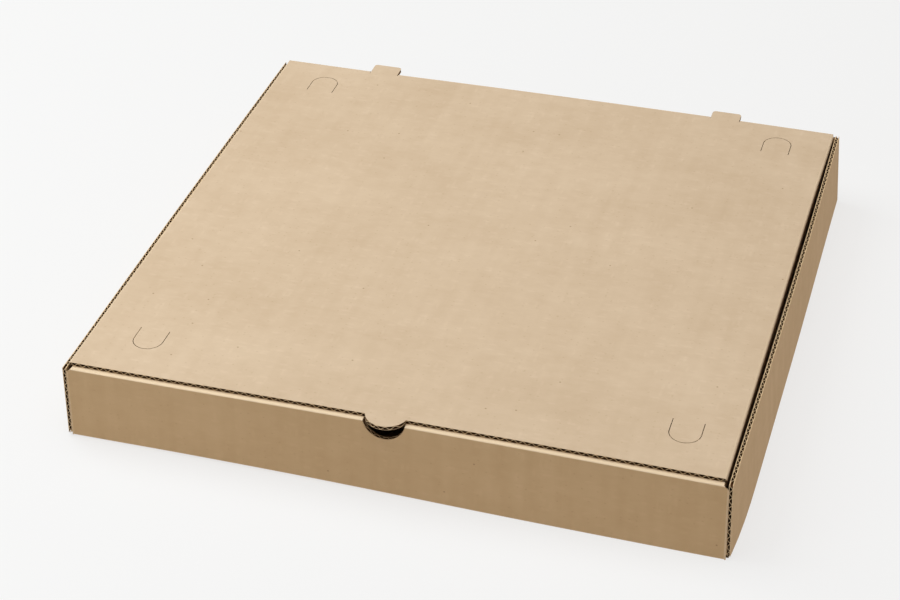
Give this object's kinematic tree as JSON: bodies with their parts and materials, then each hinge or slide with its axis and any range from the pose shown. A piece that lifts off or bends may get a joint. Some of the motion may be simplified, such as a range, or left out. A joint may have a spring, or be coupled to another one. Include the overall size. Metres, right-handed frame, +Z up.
{
  "type": "pizza box",
  "caption": "Flat square carton folded from corrugated board, with a hinged lid, thumb notch and push-in steam vents.",
  "frame": {"origin": "middle of the underside of the base, on the surface that the box stands on", "axes": "+Z up, -Y towards the front wall with the thumb notch, +X to the right seen from the front"},
  "size_m": [0.46, 0.4757, 0.059],
  "materials": {
    "tray_board": "plain brown kraft liner, matt, with cut edges that show the darker flutes",
    "lid_board": "plain brown kraft liner, matt, with faint fibre streaks and flecks",
    "vent_board": "same liner as the lid"
  },
  "bodies": {
    "tray": {"tray": "tray_board"},
    "lid": {"lid": "lid_board"},
    "vent_front_left": {"vent_front_left": "vent_board"},
    "vent_front_right": {"vent_front_right": "vent_board"},
    "vent_rear_left": {"vent_rear_left": "vent_board"},
    "vent_rear_right": {"vent_rear_right": "vent_board"}
  },
  "joints": [
    {"name": "lid_hinge", "type": "hinge", "parent": "tray", "child": "lid", "pos_m": [0, 0.2284, 0.0584], "axis": [-1, 0, 0], "range_deg": [0, 180]},
    {"name": "vent_front_left_push", "type": "hinge", "parent": "lid", "child": "vent_front_left", "pos_m": [-0.1832, -0.172, 0.0562], "axis": [1, 0, 0], "range_deg": [0, 70]},
    {"name": "vent_front_right_push", "type": "hinge", "parent": "lid", "child": "vent_front_right", "pos_m": [0.188, -0.172, 0.0562], "axis": [1, 0, 0], "range_deg": [0, 70]},
    {"name": "vent_rear_left_push", "type": "hinge", "parent": "lid", "child": "vent_rear_left", "pos_m": [-0.1842, 0.184, 0.0562], "axis": [-1, 0, 0], "range_deg": [0, 70]},
    {"name": "vent_rear_right_push", "type": "hinge", "parent": "lid", "child": "vent_rear_right", "pos_m": [0.1834, 0.1876, 0.0562], "axis": [-1, 0, 0], "range_deg": [0, 70]}
  ]
}
